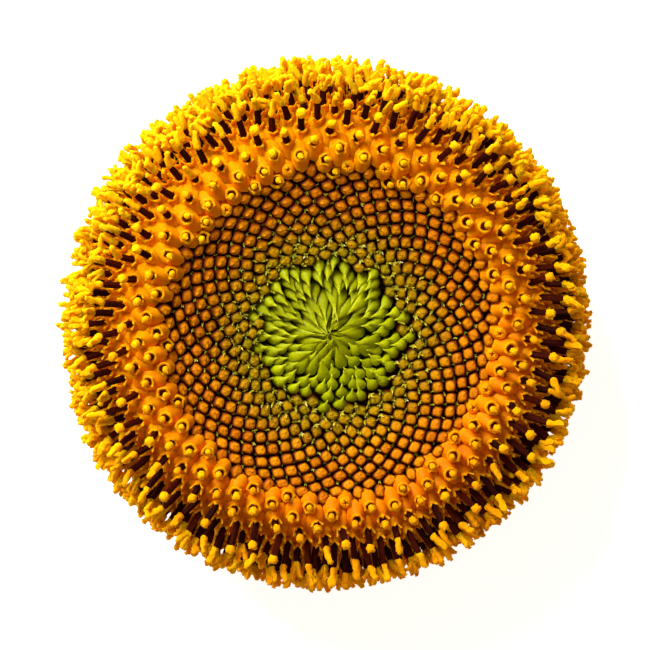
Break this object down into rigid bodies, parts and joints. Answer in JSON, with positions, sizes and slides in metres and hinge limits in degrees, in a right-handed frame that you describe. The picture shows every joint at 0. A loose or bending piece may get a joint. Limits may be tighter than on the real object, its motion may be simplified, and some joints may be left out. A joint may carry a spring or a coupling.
{
  "type": "sunflower head",
  "caption": "Round sunflower head without ray petals, with spiralled disc florets from green centre to pollen-covered rim, green bracts and a short cut stalk to rest on.",
  "frame": {"origin": "middle of the stalk's flat cut face, which rests on the surface", "axes": "+Z up along the head's own axis, out of the middle of its face; +X to the right and +Y up in the picture"},
  "size_m": [0.1107, 0.1104, 0.0346],
  "materials": {
    "receptacle_green": "matt pale green rind with short hairs; white pith on the cut stalk",
    "bract_green": "matt green leaf with fine hairs and pale veins",
    "young_green": "soft satin yellow-green scales",
    "bud_amber": "soft satin amber buds with dark hollows between them",
    "corolla_orange": "translucent orange petal tissue",
    "pollen_yellow": "dry yellow pollen over brown anther tubes",
    "anther_brown": "dark brown ribbed anther tubes with a soft sheen"
  },
  "bodies": {
    "root": {"receptacle": "receptacle_green", "involucre": "bract_green", "centre_florets": "young_green", "bud_florets": "bud_amber", "opening_florets": "corolla_orange", "pollen_florets": "pollen_yellow"}
  },
  "joints": []
}
